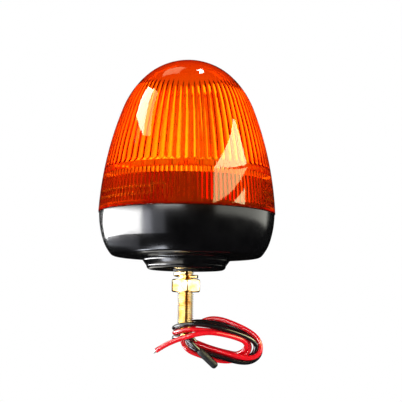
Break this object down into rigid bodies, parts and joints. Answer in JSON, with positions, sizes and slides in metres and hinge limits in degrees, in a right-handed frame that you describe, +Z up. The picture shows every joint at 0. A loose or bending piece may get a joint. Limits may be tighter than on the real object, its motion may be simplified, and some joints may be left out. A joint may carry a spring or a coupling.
{
  "type": "flashing led beacon",
  "caption": "Round warning beacon: fluted amber dome lens on a black bowl base, with one hollow threaded mounting stud, lock washer, hex nut and two supply leads.",
  "frame": {"origin": "centre of the flat face under the boss, which rests on the panel", "axes": "+Z up through the lens along the stud's axis, front towards -Y, +X to the right"},
  "size_m": [0.1118, 0.1116, 0.1951],
  "materials": {
    "amber_lens": "clear amber moulded lens, polished outside",
    "black_housing": "satin black moulded plastic",
    "black_rubber": "matt black seal rubber",
    "yellow_zinc": "yellow passivated zinc plate on steel",
    "board_green": "green circuit board",
    "board_white": "white circuit board",
    "terminal_plastic": "moulded terminal body",
    "capacitor_sleeve": "dark shrink sleeve on an aluminium can",
    "ferrite": "dark ferrite drum with enamelled wire",
    "chip_black": "black moulded chip",
    "screw_steel": "plated screw",
    "white_plastic": "white moulded plastic",
    "diode_body": "pale diode package with yellow phosphor",
    "red_lead": "glossy red insulation",
    "black_lead": "glossy black insulation",
    "black_sleeve": "black shrink sleeve",
    "tinned_copper": "tinned copper strands"
  },
  "bodies": {
    "root": {"base_housing": "black_housing", "lens_gasket": "black_rubber", "hollow_stud": "yellow_zinc", "stud_seal": "black_rubber", "driver_board": "board_green", "board_screws": "screw_steel", "capacitors": "capacitor_sleeve", "inductor": "ferrite", "control_chips": "chip_black", "terminal_block": "terminal_plastic", "carrier_disc": "black_housing", "carrier_screws": "screw_steel", "tower_post": "white_plastic", "tower_strip_front": "board_white", "tower_strip_right": "board_white", "tower_strip_rear": "board_white", "tower_strip_left": "board_white", "diodes_front": "diode_body", "diodes_right": "diode_body", "diodes_rear": "diode_body", "diodes_left": "diode_body", "top_board": "board_white", "top_diode": "diode_body", "tower_leads": "black_lead", "lead_plug": "black_rubber", "red_inner_lead": "red_lead", "black_inner_lead": "black_lead", "red_lead_start": "red_lead", "black_lead_start": "black_lead", "lead_hank": "black_lead", "red_lead_end": "red_lead", "red_lead_tip": "tinned_copper", "black_lead_end": "black_lead", "black_lead_sleeve": "black_sleeve"},
    "lens": {"lens": "amber_lens"},
    "lock_washer": {"lock_washer": "yellow_zinc"},
    "mounting_nut": {"mounting_nut": "yellow_zinc"}
  },
  "joints": [
    {"name": "lens_twist", "type": "hinge", "parent": "root", "child": "lens", "pos_m": [0, 0, 0.0355], "axis": [0, 0, 1], "range_deg": [0, 98]},
    {"name": "washer_slide", "type": "slide", "parent": "root", "child": "lock_washer", "axis": [0, 0, -1], "range_m": [0, 0.01276]},
    {"name": "nut_turn", "type": "hinge", "parent": "lock_washer", "child": "mounting_nut", "pos_m": [0, 0, -0.00985], "axis": [0, 0, -1], "range_deg": [0, 3060]}
  ],
  "couplings": [
    {"joint": "washer_slide", "follows": "nut_turn", "m_per_rad": 0.00023873}
  ]
}
